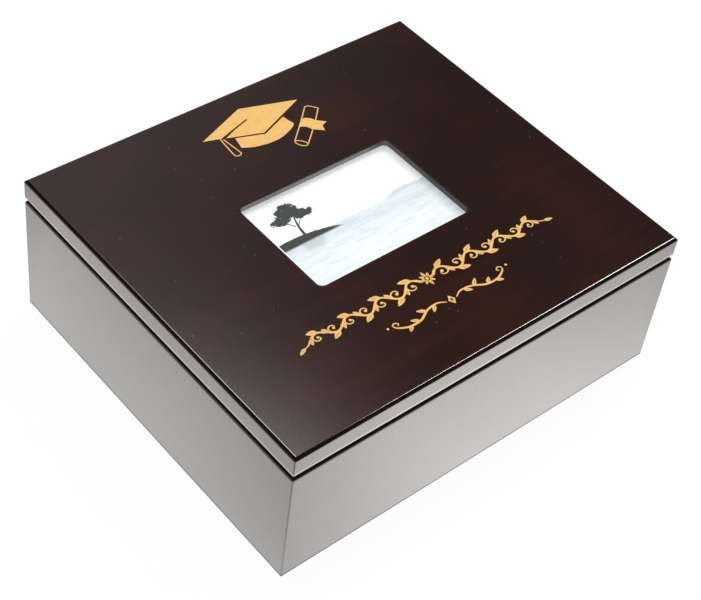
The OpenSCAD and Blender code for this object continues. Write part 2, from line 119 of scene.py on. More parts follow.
class Finish:
    """The nodes of a material or of the world, put together from expressions."""

    def __init__(self, owner):
        owner.use_nodes = True
        self.owner = owner
        self.tree = owner.node_tree
        self.tree.nodes.clear()

    def node(self, kind, settings=None, sockets=None):
        """Adds a node, with its settings first and then each socket's value or link."""
        made = self.tree.nodes.new(kind)
        for key, value in (settings or {}).items():
            setattr(made, key, value)
        for key, value in (sockets or {}).items():
            if isinstance(key, int):
                socket = made.inputs[key]
            else:
                socket = next(s for s in made.inputs if s.name == key and s.enabled)
            if isinstance(value, Socket):
                self.tree.links.new(value.socket, socket)
            elif socket.type == "RGBA":
                socket.default_value = (*value, 1)
            else:
                socket.default_value = value
        shown = [s for s in made.outputs if s.enabled]
        return Socket(self, shown[0]) if shown else None

    def place(self, stretch=(1, 1, 1)):
        """Where a point lies, in metres along the box, with each axis stretched."""
        point = self.node("ShaderNodeTexCoord").out("Object")
        if stretch == (1, 1, 1):
            return point
        return self.node("ShaderNodeVectorMath", {"operation": "MULTIPLY"}, {0: point, 1: stretch})

    def axes(self):
        parts = self.node("ShaderNodeSeparateXYZ", None, {"Vector": self.place()})
        return parts.out("X"), parts.out("Y"), parts.out("Z")

    def noise(self, size, detail=2, roughness=0.5, stretch=(1, 1, 1)):
        """Soft noise from 0 to 1 whose lumps are about size metres across."""
        sockets = {
            "Vector": self.place(stretch),
            "Scale": 1 / size,
            "Detail": detail,
            "Roughness": roughness,
        }
        return self.node("ShaderNodeTexNoise", None, sockets)

    def cells(self, size):
        """Distance from the middle of the nearest of many scattered cells, in cells."""
        return self.node("ShaderNodeTexVoronoi", None, {"Vector": self.place(), "Scale": 1 / size})

    def mix(self, share, first, second):
        sockets = {"Factor": share, "A": first, "B": second}
        return self.node("ShaderNodeMix", {"data_type": "RGBA"}, sockets).out(2)

    def bump(self, height, depth):
        """A normal from a height of 0 to 1 that stands for depth metres."""
        return self.node("ShaderNodeBump", None, {"Strength": 1, "Distance": depth, "Height": height})

    def surface(self, sockets):
        shader = self.node("ShaderNodeBsdfPrincipled", None, sockets)
        self.node("ShaderNodeOutputMaterial", None, {"Surface": shader})
        return self.owner


def new_finish(name):
    return Finish(bpy.data.materials.new(name))


def dress(names, material):
    """Gives pieces of the frame their material."""
    for name in names:
        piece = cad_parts[name]
        for place in piece.material_slots:
            place.material = material


def near_edge(finish, low, high):
    """Distance in metres from the nearest edge of the block between two corners."""
    gaps = [(axis - start).least(end - axis) for axis, start, end in zip(finish.axes(), low, high)]
    nearest = gaps[0].least(gaps[1])
    other = gaps[0].most(gaps[1])
    return nearest.most(other.least(gaps[2]))


lacquer_dark = (0.0290, 0.0120, 0.0090)
lacquer_red = (0.0500, 0.0143, 0.0098)
lacquer_pore = (0.0080, 0.0050, 0.0045)
# The colour painted near the edges as shade.
painted_edge_shade = (0.0060, 0.0022, 0.0022)
lacquer_end = (0.1000, 0.0230, 0.0190)
dust_grey = (0.1600, 0.1400, 0.1250)
# Colour of the dark matt shader that paints shade.
painted_shade_colour = (0.0120, 0.0100, 0.0100)
grain_stretch = 0.045
end_grain = (0.0012, 0.0006)
# Height band at the foot that is painted dark as a shadow line.
foot_shade_band = (0.0017, 0.0009)
# Height band over the lid's lower edge that carries a painted glint.
painted_glint_band = (0.0036, 0.0028)
# How far in from the edges the shade is painted, on the case and on the lid.
case_edge = 0.0034
lid_edge = 0.0022


def lacquer(name, grain_axis, low, high, edge, window=None):
    """Gloss lacquer on boards with the grain along an axis, within the corners low and high. edge is
    how far in the edges are painted dark as shade. window gives the parts of the lid that weren't
    polished, and the painted dark line round the window."""
    finish = new_finish(name)
    along = tuple(grain_stretch if axis == grain_axis else 1 for axis in range(3))
    clouds = finish.noise(0.060, detail=3, roughness=0.55)
    figure = finish.noise(0.007, detail=4, roughness=0.6, stretch=along)
    pores = finish.noise(0.0011, detail=2, roughness=0.7, stretch=along)
    red = (clouds * 0.65 + figure * 0.35).ramp(0.40, 0.66)
    colour = finish.mix(red, lacquer_dark, lacquer_red)
    colour = finish.mix(pores.ramp(0.56, 0.72) * 0.45, colour, lacquer_pore)
    place = finish.axes()
    reach = place[grain_axis]
    end = reach.ramp(*(low[grain_axis] + inset for inset in end_grain))
    end = end.most(reach.ramp(*(high[grain_axis] - inset for inset in end_grain)))
    colour = finish.mix(end, colour, lacquer_end)
    # Painted shade: the base colour turns nearly black near every edge of the block, for the dark room
    # that the rounded edges mirror. The noise only wavers the band's inner border.
    thick = finish.noise(0.006, detail=2) * 0.0006
    black = (near_edge(finish, low, high) + thick).ramp(edge * 1.15, edge * 0.75)
    colour = finish.mix(black * 0.92, colour, painted_edge_shade)
    speck = finish.cells(0.0087).ramp(0.045, 0.030)
    colour = finish.mix(speck * 0.55, colour, dust_grey)
    wiped = finish.noise(0.035, detail=4, roughness=0.65, stretch=(1, 0.35, 1))
    roughness = 0.055 + wiped * 0.045 + speck * 0.3
    facing = finish.node("ShaderNodeLayerWeight", None, {"Blend": 0.5}).out("Facing")
    coat = facing.ramp(0.18, 0.60)
    grazing_gloss_and_painted_glint = facing.ramp(0.68, 0.85) * 0.90
    # Painted shadow: a thin band at the foot turns to a dark matt shader.
    line = place[2].ramp(*(low.z + height for height in foot_shade_band))
    if window:
        # On the lid, line becomes the painted dark line round the window instead of the foot band.
        dull, line = window(finish)
        roughness = roughness + dull * 0.42
        coat = coat * (1 - dull)
        # Painted glint: a band of white gloss just above the lid's lower edge, standing for the bright
        # glint of its rounding.
        gleam = place[2].ramp(*(low.z + height for height in painted_glint_band)) * 0.60
        grazing_gloss_and_painted_glint = grazing_gloss_and_painted_glint.most(gleam) * (1 - dull)
    peel = finish.noise(0.0045, detail=1)
    relief = finish.bump(peel * 0.7 + pores * 0.15, 0.000012)
    body = finish.node(
        "ShaderNodeBsdfPrincipled",
        None,
        {
            "Base Color": colour,
            "Roughness": roughness,
            "IOR": 2.8,
            "Coat Weight": coat,
            "Coat IOR": 4.0,
            "Coat Roughness": 0.03,
            "Normal": relief,
        },
    )
    # White gloss, mixed in at grazing angles and, on the lid, in the painted glint band.
    sheen = finish.node("ShaderNodeBsdfGlossy", None, {"Color": (1, 1, 1), "Roughness": 0.08})
    whole = finish.node("ShaderNodeMixShader", None, {0: grazing_gloss_and_painted_glint, 1: body, 2: sheen})
    # Painted shade: a dark matt shader, mixed in on the foot band of the case, and on the lid on the line
    # round the window and the window's right wall.
    shade_sockets = {"Base Color": painted_shade_colour, "Roughness": 0.45}
    painted_shade_shader = finish.node("ShaderNodeBsdfPrincipled", None, shade_sockets)
    # Painted shade: on the lid the window's right wall is also pulled towards the dark matt shader.
    matt = line.most(dull * place[0].ramp(0.04, 0.05) * 0.75) if window else line
    whole = finish.node("ShaderNodeMixShader", None, {0: matt, 1: whole, 2: painted_shade_shader})
    finish.node("ShaderNodeOutputMaterial", None, {"Surface": whole})
    return finish.owner


case_low = Vector((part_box("left_wall")[0].x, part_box("front_wall")[0].y, 0))
case_high = Vector((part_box("right_wall")[1].x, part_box("back_wall")[1].y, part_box("front_wall")[1].z))
lacquer_long = lacquer("lacquer_long", 0, case_low, case_high, case_edge)
lacquer_short = lacquer("lacquer_short", 1, case_low, case_high, case_edge)
dress(["front_wall", "back_wall"], lacquer_long)
dress(["left_wall", "right_wall"], lacquer_short)

# Bottom panel -------------------------------------------------------------------------------------
# A thin sheet of stained plywood, let into a rebate under the walls and glued there.
panel_brown = (0.24, 0.17, 0.12)
panel_dark = (0.13, 0.085, 0.058)
panel_fibre = (0.07, 0.045, 0.03)

plywood = new_finish("plywood")
rings = plywood.noise(0.010, detail=4, roughness=0.6, stretch=(0.06, 1, 1))
fibres = plywood.noise(0.0009, detail=2, roughness=0.7, stretch=(0.05, 1, 1))
wood = plywood.mix(rings.ramp(0.36, 0.68), panel_brown, panel_dark)
wood = plywood.mix(fibres.ramp(0.55, 0.75) * 0.6, wood, panel_fibre)
plywood.surface(
    {
        "Base Color": wood,
        "Roughness": 0.58 + fibres * 0.2,
        "Normal": plywood.bump(fibres + rings * 0.4, 0.00010),
    }
)
dress(["bottom_panel"], plywood.owner)


# Base felt ----------------------------------------------------------------------------------------
# One piece of black wool felt under the box, cut with a knife and glued to the bottom panel, so that
# the lacquer doesn't scratch the table.
def rounded_ring(width, depth, corner, along, across, turn):
    """Points round a rectangle with rounded corners, with so many steps on its sides and turns."""
    arcs = []
    for quarter, (right, back) in enumerate(((1, 1), (-1, 1), (-1, -1), (1, -1))):
        middle = Vector((right * (width / 2 - corner), back * (depth / 2 - corner)))
        angles = [math.radians(90 * (quarter + step / turn)) for step in range(turn + 1)]
        arcs.append([middle + corner * Vector((math.cos(a), math.sin(a))) for a in angles])
    ring = []
    for arc, after, steps in zip(arcs, arcs[1:] + arcs[:1], (along, across, along, across)):
        ring += arc
        ring += [arc[-1].lerp(after[0], step / steps) for step in range(1, steps)]
    return ring


def join_rings(shape, rings, closed):
    """Adds a skin over rings of points. It is capped, or closed from its last ring to its first."""
    rows = [[shape.verts.new(point) for point in ring] for ring in rings]
    for lower, upper in zip(rows, rows[1:] + rows[:1] if closed else rows[1:]):
        for here, there in zip(range(len(lower)), [*range(1, len(lower)), 0]):
            shape.faces.new((lower[here], lower[there], upper[there], upper[here]))
    if not closed:
        shape.faces.new(rows[0])
        shape.faces.new(rows[-1])


def make_piece(name, shape, body, material, smooth=True):
    """Turns a mesh that was built in code into a piece that rides on a body."""
    bmesh.ops.recalc_face_normals(shape, faces=shape.faces)
    mesh = bpy.data.meshes.new(name)
    shape.to_mesh(mesh)
    shape.free()
    if smooth:
        mesh.shade_smooth()
        mesh.set_sharp_from_angle(angle=math.radians(50))
    mesh.materials.append(material)
    piece = bpy.data.objects.new(name, mesh)
    bpy.context.scene.collection.objects.link(piece)
    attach(piece, body)
    return piece


felt_black = (0.045, 0.036, 0.034)
felt_grey = (0.115, 0.100, 0.095)
felt_lint = (0.26, 0.24, 0.23)
felt_fray = 0.0002

wool = new_finish("wool_felt")
tufts = wool.noise(0.0045, detail=4, roughness=0.7)
hairs = wool.noise(0.0006, detail=3, roughness=0.8)
lint = wool.cells(0.011).ramp(0.075, 0.055)
felted = wool.mix(tufts.ramp(0.35, 0.70) * 0.45, felt_black, felt_grey)
felted = wool.mix(hairs.ramp(0.58, 0.75) * 0.5, felted, felt_grey)
felted = wool.mix(lint * 0.6, felted, felt_lint)
wool.surface(
    {
        "Base Color": felted,
        "Roughness": 0.95,
        "Sheen Weight": 0.35,
        "Sheen Roughness": 0.5,
        "Normal": wool.bump(hairs + tufts, 0.00025),
    }
)
felt_low, felt_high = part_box("base_felt")
felt_w = felt_high.x - felt_low.x
felt_l = felt_high.y - felt_low.y
felt_rings = []
for inset, height in ((0.4, 0), (0.1, 0.1), (0, 0.4), (0, 0.85), (0.1, 1), (2, 1)):
    loop = rounded_ring(felt_w - inset / 500, felt_l - inset / 500, 0.002, 90, 78, 4)
    ring = []
    for spot in loop:
        frayed = felt_fray * noise.noise(Vector((spot.x, spot.y, 0.3)) / 0.004) - felt_fray
        out = spot + spot.normalized() * frayed
        ring.append(Vector((out.x, out.y, height * felt_high.z)))
    felt_rings.append(ring)
felt_shape = bmesh.new()
join_rings(felt_shape, felt_rings, False)
felt = make_piece("felt_pad", felt_shape, "case", wool.owner)
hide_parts("base_felt")

# Case linings -------------------------------------------------------------------------------------
# Five cards wrapped in dark velvet over a thin wadding and glued in, the floor first and then the
# walls. They stop a little below the rim, and each is soft at its edges and slightly uneven.
velvet_dark = (0.042, 0.027, 0.029)
velvet_light = (0.070, 0.046, 0.049)
velvet_shade = (0.012, 0.008, 0.009)
velvet_sheen = (0.42, 0.30, 0.30)
wrap_turn = 0.0006
wrap_wave = 0.00014
wrap_crown = 0.00030
card_sides = [(0.0003, 0.0), (0.00006, 0.00012), (0.0, 0.0004)]
card_insets = [0.0, 0.00008, 0.0003, 0.0006, 0.0016, 0.004, 0.009]

velvet = new_finish("velvet")
brushed = velvet.noise(0.028, detail=5, roughness=0.6)
strokes = velvet.noise(0.007, detail=3, roughness=0.6, stretch=(1, 0.4, 0.4))
pile = velvet.noise(0.00055, detail=2, roughness=0.7)
nap = (brushed * 0.5 + strokes * 0.5).ramp(0.36, 0.66)
pile_colour = velvet.mix(nap, velvet_dark, velvet_light)
pile_colour = velvet.mix(pile.ramp(0.45, 0.75) * 0.5, pile_colour, velvet_shade)
velvet.surface(
    {
        "Base Color": pile_colour,
        "Roughness": 0.9,
        "Specular IOR Level": 0.2,
        "Sheen Weight": 0.8,
        "Sheen Roughness": 0.32,
        "Sheen Tint": velvet_sheen,
        "Normal": velvet.bump(pile + nap * 0.8, 0.00022),
    }
)


def wrapped_height(point, inset, thick):
    """How far a wrapped card stands up at a point that is inset metres from its edge."""
    if inset < wrap_turn:
        return thick - wrap_turn + math.sqrt(wrap_turn ** 2 - (wrap_turn - inset) ** 2)
    full = min(1, (inset - wrap_turn) / 0.02)
    wave = noise.noise(Vector((point.x, point.y, thick * 900)) / 0.022)
    return thick + wrap_crown * (full ** 0.5 - 1) + wrap_wave * wave * full


def velvet_card(node, normal_axis, facing, body):
    """A wrapped card in place of a lining. It is soft on the side that faces along the axis."""
    low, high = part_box(node)
    middle = (low + high) / 2
    across, up = [axis for axis in range(3) if axis != normal_axis]
    width = high[across] - low[across]
    height = high[up] - low[up]
    thick = high[normal_axis] - low[normal_axis]
    back = low[normal_axis] if facing > 0 else high[normal_axis]
    insets = card_insets + [0.016, 0.025, 0.036, 0.050, 0.068, 0.088]
    profile = card_sides + [(inset, None) for inset in insets if inset < height / 2 - 0.002]
    loops = []
    for inset, stands in profile:
        ring = []
        for spot in rounded_ring(width - 2 * inset, height - 2 * inset, 0.0008, 60, 40, 4):
            rise = wrapped_height(spot, inset, thick) if stands is None else stands
            point = Vector((0, 0, 0))
            point[across] = middle[across] + spot.x
            point[up] = middle[up] + spot.y
            point[normal_axis] = back + facing * rise
            ring.append(point)
        loops.append(ring)
    shape = bmesh.new()
    join_rings(shape, loops, False)
    card = make_piece(node.replace("lining", "velvet"), shape, body, velvet.owner)
    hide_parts(node)


velvet_card("floor_lining", 2, 1, "case")
velvet_card("front_lining", 1, 1, "case")
velvet_card("back_lining", 1, -1, "case")
velvet_card("left_lining", 0, 1, "case")
velvet_card("right_lining", 0, -1, "case")


# Hinges and their screws --------------------------------------------------------------------------
# Two small brass butt hinges let into the rim, with rolled knuckles on drawn pins and countersunk
# screws. The brass is brushed along the leaf and has begun to tarnish in spots.
brass_bright = (0.92, 0.68, 0.30)
brass_dull = (0.72, 0.50, 0.21)
brass_brown = (0.30, 0.18, 0.09)


def brass(name, brushed_axis):
    """Satin brass with brushing lines along an axis."""
    finish = new_finish(name)
    along = tuple(0.05 if axis == brushed_axis else 1 for axis in range(3))
    lines = finish.noise(0.00035, detail=3, roughness=0.65, stretch=along)
    haze = finish.noise(0.011, detail=3, roughness=0.6)
    spots = finish.noise(0.0024, detail=4, roughness=0.75).ramp(0.60, 0.76)
    colour = finish.mix(haze.ramp(0.35, 0.68), brass_bright, brass_dull)
    colour = finish.mix(spots * 0.65, colour, brass_brown)
    colour = finish.mix(lines.ramp(0.50, 0.80) * 0.35, colour, brass_dull)
    return finish.surface(
        {
            "Base Color": colour,
            "Metallic": 0.62,
            "Roughness": 0.24 + lines * 0.14 + haze * 0.06 + spots * 0.20,
            "Normal": finish.bump(lines + spots * 0.4, 0.000016),
        }
    )


brass_leaf = brass("brass_leaf", 0)
brass_turned = brass("brass_turned", 1)
dress(["hinge_left_case_leaf", "hinge_right_case_leaf"], brass_leaf)
dress(["hinge_left_pin", "hinge_right_pin", "hinge_case_screws"], brass_turned)

# Stay plate ---------------------------------------------------------------------------------------
# A stamped brass plate, screwed flat to the right wall with two countersunk screws. A headed stud
# riveted into it runs in the slot of the lid stay.
brass_plate = brass("brass_plate", 1)
brass_stud = brass("brass_stud", 2)
dress(["stay_case_plate"], brass_plate)
dress(["stay_stud", "stay_case_screws"], brass_stud)

# Lid panel ----------------------------------------------------------------------------------------
# One thick board under the same lacquer, with the picture window cut through it. Inside the window
# the lacquer was left as it came from the spray gun, without the polish of the top. The line round
# the window's upper edge and the window's right wall are painted dark as shade.
lid_low, lid_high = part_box("lid_panel")
window_w = 0.1145
window_d = 0.0770


def inside_window(finish):
    """From 0 to 1, the walls of the window, and the line round its upper edge painted dark as shade."""
    across, deep, up = finish.axes()
    outside = (abs(across) - window_w / 2).most(abs(deep) - window_d / 2)
    walls = outside.ramp(0.0009, 0.0005) * up.ramp(lid_high.z - 0.00002, lid_high.z - 0.0001)
    painted_rim_shade = outside.ramp(0.0011, 0.0007) * up.ramp(lid_high.z - 0.0008, lid_high.z - 0.0004)
    return walls, painted_rim_shade


lacquer_lid = lacquer("lacquer_lid", 0, lid_low, lid_high, lid_edge, inside_window)
dress(["lid_panel"], lacquer_lid)

# Gold cap and diploma -----------------------------------------------------------------------------
# A mortarboard with its tassel and a rolled diploma with a ribbon, the common signs of a graduation.
# They are cut shallow into the lacquer and filled with matt gold paint that stands just proud of it.
gold_yellow = (0.99, 0.61, 0.195)
gold_deep = (0.90, 0.48, 0.135)
gold_grain = (1.0, 0.68, 0.30)
gold_sunk = 0.00002
gold_proud = 0.00004
gold_coat = 0.000006
ribbon_lift = 0.00001
thin_line = 0.75
mm = 0.001

gold = new_finish("gold_paint")
pooled = gold.noise(0.005, detail=3, roughness=0.6)
grains = gold.noise(0.00045, detail=2, roughness=0.7)
paint = gold.mix(pooled.ramp(0.42, 0.75) * 0.5, gold_yellow, gold_deep)
paint = gold.mix(grains.ramp(0.55, 0.80) * 0.35, paint, gold_grain)
gold.surface(
    {
        "Base Color": paint,
        "Roughness": 0.50 + grains * 0.22,
        "Normal": gold.bump(grains * 0.6 + pooled * 0.4, 0.00003),
    }
)


def curve(points, steps=8):
    """A smooth line through points in the lid's plane, as more points."""
    spots = [Vector(point) for point in points]
    ends = [spots[0] * 2 - spots[1], *spots, spots[-1] * 2 - spots[-2]]
    line = []
    for before, start, end, after in zip(ends, ends[1:], ends[2:], ends[3:]):
        leaving = start + (end - before) / 6
        arriving = end - (after - start) / 6
        line += geometry.interpolate_bezier(start, leaving, arriving, end, steps + 1)[:-1]
    return line + [spots[-1]]


def gold_area(shape, outline, holes=(), lift=0.0):
    """Adds a flat area of gold with holes, from outlines in millimetres."""
    loops = [[Vector((*point, 0)) for point in loop] for loop in (outline, *holes)]
    spots = [point * mm for loop in loops for point in loop]
    low = lid_high.z - gold_sunk
    high = lid_high.z + gold_proud + lift
    under = [shape.verts.new((spot.x, spot.y, low)) for spot in spots]
    over = [shape.verts.new((spot.x, spot.y, high)) for spot in spots]
    for corners in geometry.tessellate_polygon(loops):
        shape.faces.new([under[corner] for corner in corners])
        shape.faces.new([over[corner] for corner in corners])
    first = 0
    for loop in loops:
        for step in range(len(loop)):
            here = first + step
            there = first + (step + 1) % len(loop)
            shape.faces.new((under[here], under[there], over[there], over[here]))
        first += len(loop)


def gold_line(shape, points, widths, lift=0.0):
    """Adds a gold line of changing width through points, in millimetres."""
    low = lid_high.z - gold_sunk
    high = lid_high.z + gold_proud + lift
    rows = []
    for index, point in enumerate(points):
        ahead = points[min(index + 1, len(points) - 1)] - points[max(index - 1, 0)]
        side = Vector((-ahead.y, ahead.x)).normalized() * widths[index] / 2
        left = (point + side) * mm
        right = (point - side) * mm
        corners = ((*left, low), (*left, high), (*right, high), (*right, low))
        rows.append([shape.verts.new(corner) for corner in corners])
    for row, after in zip(rows, rows[1:]):
        for here, there in ((0, 1), (1, 2), (2, 3), (3, 0)):
            shape.faces.new((row[here], row[there], after[there], after[here]))
    shape.faces.new(rows[0])
    shape.faces.new(rows[-1])


def even(points, width):
    return [width] * len(points)


cord_slit = [(-27.8, 93.7), (-15.8, 97.2), (-4.0, 100.4), (-3.4, 99.5), (-15.1, 96.2), (-25.1, 92.5)]
board = [(-38.9, 97.5), (-2.1, 110.7), (34.7, 98.1), (-2.3, 84.1), *reversed(cord_slit)]
under_board = [(-20.5, 89.5), (-2.3, 82.8), (16.8, 89.8)]
skull = under_board + curve([(17.5, 85.4), (17.8, 80.3), (9.3, 76.2), (1.7, 74.5), (-6.0, 74.6)], 5)
skull += curve([(-7.1, 74.8), (-15.7, 76.9), (-22.5, 80.4)], 4)

cap_shape = bmesh.new()
gold_area(cap_shape, board)
gold_area(cap_shape, skull)
tassel = [Vector(point) for point in ((-28.6, 93.6), (-29.1, 89.7), (-29.8, 82.7))]
tassel += curve([(-30.2, 77.7), (-29.6, 76.0), (-27.5, 75.5), (-25.7, 76.4), (-25.6, 78.3)], 5)
tassel += [Vector(point) for point in ((-26.4, 85.7), (-27.1, 92.7))]
gold_line(cap_shape, tassel, even(tassel, thin_line))
make_piece("gold_cap", cap_shape, "lid", gold.owner, smooth=False)

diploma_shape = bmesh.new()
roll_left = curve([(34.4, 90.1), (20.8, 78.0), (8.5, 67.6)], 6)
roll_top = curve([(34.2, 90.0), (36.5, 89.5), (38.8, 86.8), (40.8, 84.3)], 6)
roll_right = curve([(40.6, 84.5), (31.9, 76.3)], 6)
roll_low_right = curve([(24.6, 70.0), (13.2, 60.6)], 6)
roll_end = curve([(8.5, 67.6), (8.0, 66.0), (8.9, 63.2), (11.0, 60.8), (13.2, 60.6)], 6)
roll_mouth = curve([(8.5, 67.6), (10.5, 67.0), (12.6, 64.9), (13.8, 62.5), (13.2, 60.6)], 6)
for line in (roll_left, roll_top, roll_right, roll_low_right, roll_end, roll_mouth):
    gold_line(diploma_shape, line, even(line, thin_line))
ribbon = curve([(25.7, 81.9), (28.0, 81.2), (30.4, 78.9), (32.0, 75.9)], 5)
ribbon += [Vector(point) for point in ((36.8, 71.5), (32.3, 69.9), (30.6, 65.4), (24.5, 70.7))]
ribbon += curve([(24.3, 71.9), (22.7, 74.7), (20.7, 76.0), (19.3, 76.3)], 5)
gold_area(diploma_shape, ribbon, lift=ribbon_lift)
make_piece("gold_diploma", diploma_shape, "lid", gold.owner, smooth=False)

# Gold ornament ------------------------------------------------------------------------------------
# A running vine under the window and a short flourish below it, in the same gold paint. They are a
# plain traditional scroll pattern, alike on both sides of a small rosette.
vine_middle = Vector((-2.5, -67.0))
vine_start = 5.0
vine_run = 86.5
vine_steps = 160
vine_wave = 23.0
vine_height = 3.8
vine_stem = 1.30
vine_crests = 7
crest_shrink = 0.035
vine_curl = 1.10
curl_steps = 40
leaf_steps = 12
leaf_long = 8.6
leaf_wide = 3.7


def leaf(shape, foot, angle, long, wide, lift):
    """Adds a pointed leaf with a slit for its midrib, growing from its foot at an angle."""
    way = Vector((math.cos(angle), math.sin(angle)))
    side = Vector((-way.y, way.x))
    edges = []
    for hand in (1, -1):
        spots = []
        for step in range(leaf_steps + 1):
            part = step / leaf_steps
            swell = math.sin(math.pi * part ** 0.80) * (1 + 0.10 * math.sin(9 * part))
            bend = side * 0.10 * long * part ** 2
            spots.append(foot + way * long * part + bend + side * hand * wide / 2 * swell)
        edges.append(spots)
    outline = edges[0] + edges[1][-2:0:-1]
    rib = []
    for part, half in ((0.22, 0.0), (0.35, 0.13), (0.55, 0.11), (0.82, 0.0)):
        rib.append((foot + way * long * part + side * 0.10 * long * part ** 2, half))
    slit = [spot + side * half for spot, half in rib]
    slit += [spot - side * half for spot, half in rib[2:0:-1]]
    gold_area(shape, outline, [slit], lift)


def dot(shape, middle, radius, lift):
    """Adds a small round berry."""
    turn = [math.radians(24 * step) for step in range(15)]
    gold_area(shape, [middle + radius * Vector((math.cos(a), math.sin(a))) for a in turn], (), lift)


vine_shape = bmesh.new()
for hand in (1, -1):
    stem = []
    stem_widths = []
    for step in range(vine_steps + 1):
        part = step / vine_steps
        reach = vine_start + part * vine_run
        phase = 2 * math.pi * (reach - vine_start) / vine_wave
        swing = vine_height * (1 - 0.25 * part) * math.sin(phase)
        stem.append(vine_middle + Vector((hand * reach, swing)))
        stem_widths.append(vine_stem * (1.05 - 0.55 * part ** 3))
    gold_line(vine_shape, stem, stem_widths)
    for crest in range(vine_crests):
        up = 1 if crest % 2 == 0 else -1
        shrink = 1 - crest_shrink * crest
        reach = vine_start + vine_wave * (crest / 2 + 0.25)
        eye = vine_middle + Vector((hand * (reach + 0.6), -up * 0.9))
        curl = []
        curl_widths = []
        for step in range(curl_steps + 1):
            part = step / curl_steps
            turn = math.radians(168 - 430 * part)
            size = shrink * (4.9 * (1 - part) ** 1.6 + 0.95 + 1.15 * (1 - part))
            around = Vector((hand * math.cos(turn) * size * 0.95, up * math.sin(turn) * size * 0.78))
            curl.append(eye + around)
            curl_widths.append(vine_curl * (1 - 0.45 * part))
        gold_line(vine_shape, curl, curl_widths, lift=gold_coat)
        dot(vine_shape, curl[-1], 1.05 * shrink, 2 * gold_coat)
        top = vine_middle + Vector((hand * (reach - 1.5), up * vine_height * shrink))
        lean = math.atan2(up * 0.42, hand)
        leaf(vine_shape, top, lean, leaf_long * shrink, hand * leaf_wide, 3 * gold_coat)
        low_foot = vine_middle + Vector((hand * (reach + vine_wave * 0.22), up * 0.6))
        low_lean = math.atan2(-up * 1.25, hand * 0.45)
        leaf(vine_shape, low_foot, low_lean, 5.4 * shrink, 2.7, 4 * gold_coat)
    end_lean = math.atan2(-0.35, hand)
    leaf(vine_shape, stem[-1] - Vector((hand * 0.5, 0)), end_lean, 6.0, hand * 2.4, 3 * gold_coat)
for petal in range(8):
    turn = math.radians(45 * petal)
    start = vine_middle + 1.5 * Vector((math.cos(turn), math.sin(turn)))
    leaf(vine_shape, start, turn, 4.4 if petal % 2 == 0 else 3.4, 1.9, 2 * gold_coat)
dot(vine_shape, vine_middle, 1.05, 2 * gold_coat)
make_piece("gold_vine", vine_shape, "lid", gold.owner, smooth=False)

flourish_middle = Vector((-2.0, -87.4))
sweep_points = ((3.6, 0.0), (9.0, 2.5), (17.0, 1.6), (25.0, -2.2), (33.5, -2.4), (40.0, 0.6), (41.6, 3.2))
hook_points = ((41.6, 3.2), (39.6, 4.3), (37.6, 3.0), (38.6, 1.7))

flourish_shape = bmesh.new()
for hand in (1, -1):
    sweep = curve([flourish_middle + Vector((hand * x, y)) for x, y in sweep_points], 8)
    count = len(sweep) - 1
    sweep_widths = [0.50 + 0.90 * math.sin(math.pi * i / count) ** 0.7 for i in range(count + 1)]
    gold_line(flourish_shape, sweep, sweep_widths)
    hook = curve([flourish_middle + Vector((hand * x, y)) for x, y in hook_points], 6)
    gold_line(flourish_shape, hook, even(hook, thin_line), lift=gold_coat)
    for x, y, lean_x, lean_y, long in (
        (11.0, 2.3, 1.0, -0.9, 5.2),
        (18.0, 1.2, 1.0, 0.75, 5.6),
        (26.0, -2.2, 1.0, 0.8, 5.0),
        (32.0, -2.4, 1.0, -0.75, 4.6),
    ):
        foot = flourish_middle + Vector((hand * x, y))
        lean = math.atan2(lean_y, hand * lean_x)
        leaf(flourish_shape, foot, lean, long * 1.1, 2.6, 2 * gold_coat)
    dot(flourish_shape, flourish_middle + Vector((hand * 45.0, 3.0)), 0.8, 2 * gold_coat)
lozenge = [flourish_middle + Vector(tip) for tip in ((0, 3.6), (2.3, 0), (0, -3.6), (-2.3, 0))]
eyelet = [flourish_middle + Vector(tip) for tip in ((0, 1.5), (0.95, 0), (0, -1.5), (-0.95, 0))]
gold_area(flourish_shape, lozenge, [eyelet], 2 * gold_coat)
make_piece("gold_flourish", flourish_shape, "lid", gold.owner, smooth=False)

# Picture print ------------------------------------------------------------------------------------
# A photographic print of a misty shore, on semi-gloss paper between the pane and the backing: a lone
# tree on a low headland, faint hills and pale streaked water, drawn in millimetres from its middle.
# It glows a little, so that it shows as pale through the pane as in full light.
print_sky = (0.98, 0.995, 1.0)
print_cloud = (0.88, 0.915, 0.935)
print_water = (0.72, 0.80, 0.84)
print_shallow = (0.885, 0.94, 0.97)
print_streak = (0.52, 0.62, 0.67)
print_foam = (0.95, 0.965, 0.97)
print_hill = (0.60, 0.68, 0.72)
print_dark = (0.033, 0.038, 0.030)
print_mirror = (0.30, 0.36, 0.38)
print_glow = 0.50
horizon = 2.0

shore = new_finish("shore_print")
across, deep, _ = shore.axes()
u = across * 1000
v = deep * 1000
banks = shore.noise(0.030, detail=4, roughness=0.55, stretch=(0.30, 1, 1))
sky = shore.mix(banks.ramp(0.45, 0.72) * 0.55, print_sky, print_cloud)
ripples = shore.noise(0.0016, detail=4, roughness=0.65, stretch=(0.10, 1, 1))
swell = shore.noise(0.009, detail=3, roughness=0.6, stretch=(0.16, 1, 1))
depth = v.ramp(horizon, horizon - 26)
water = shore.mix(depth, print_water, print_shallow)
water = shore.mix((ripples * 0.6 + swell * 0.4).ramp(0.44, 0.60) * 0.6, water, print_shallow)
streaks = shore.noise(0.0022, detail=5, roughness=0.7, stretch=(0.16, 1, 1))
water = shore.mix(streaks.ramp(0.50, 0.60) * 0.30, water, print_streak)
foam = (ripples + swell * 0.6).ramp(0.92, 1.02) * v.ramp(horizon - 8, horizon - 24)
water = shore.mix(foam, water, print_foam)
picture = shore.mix(v.ramp(horizon + 0.15, horizon - 0.15), sky, water)
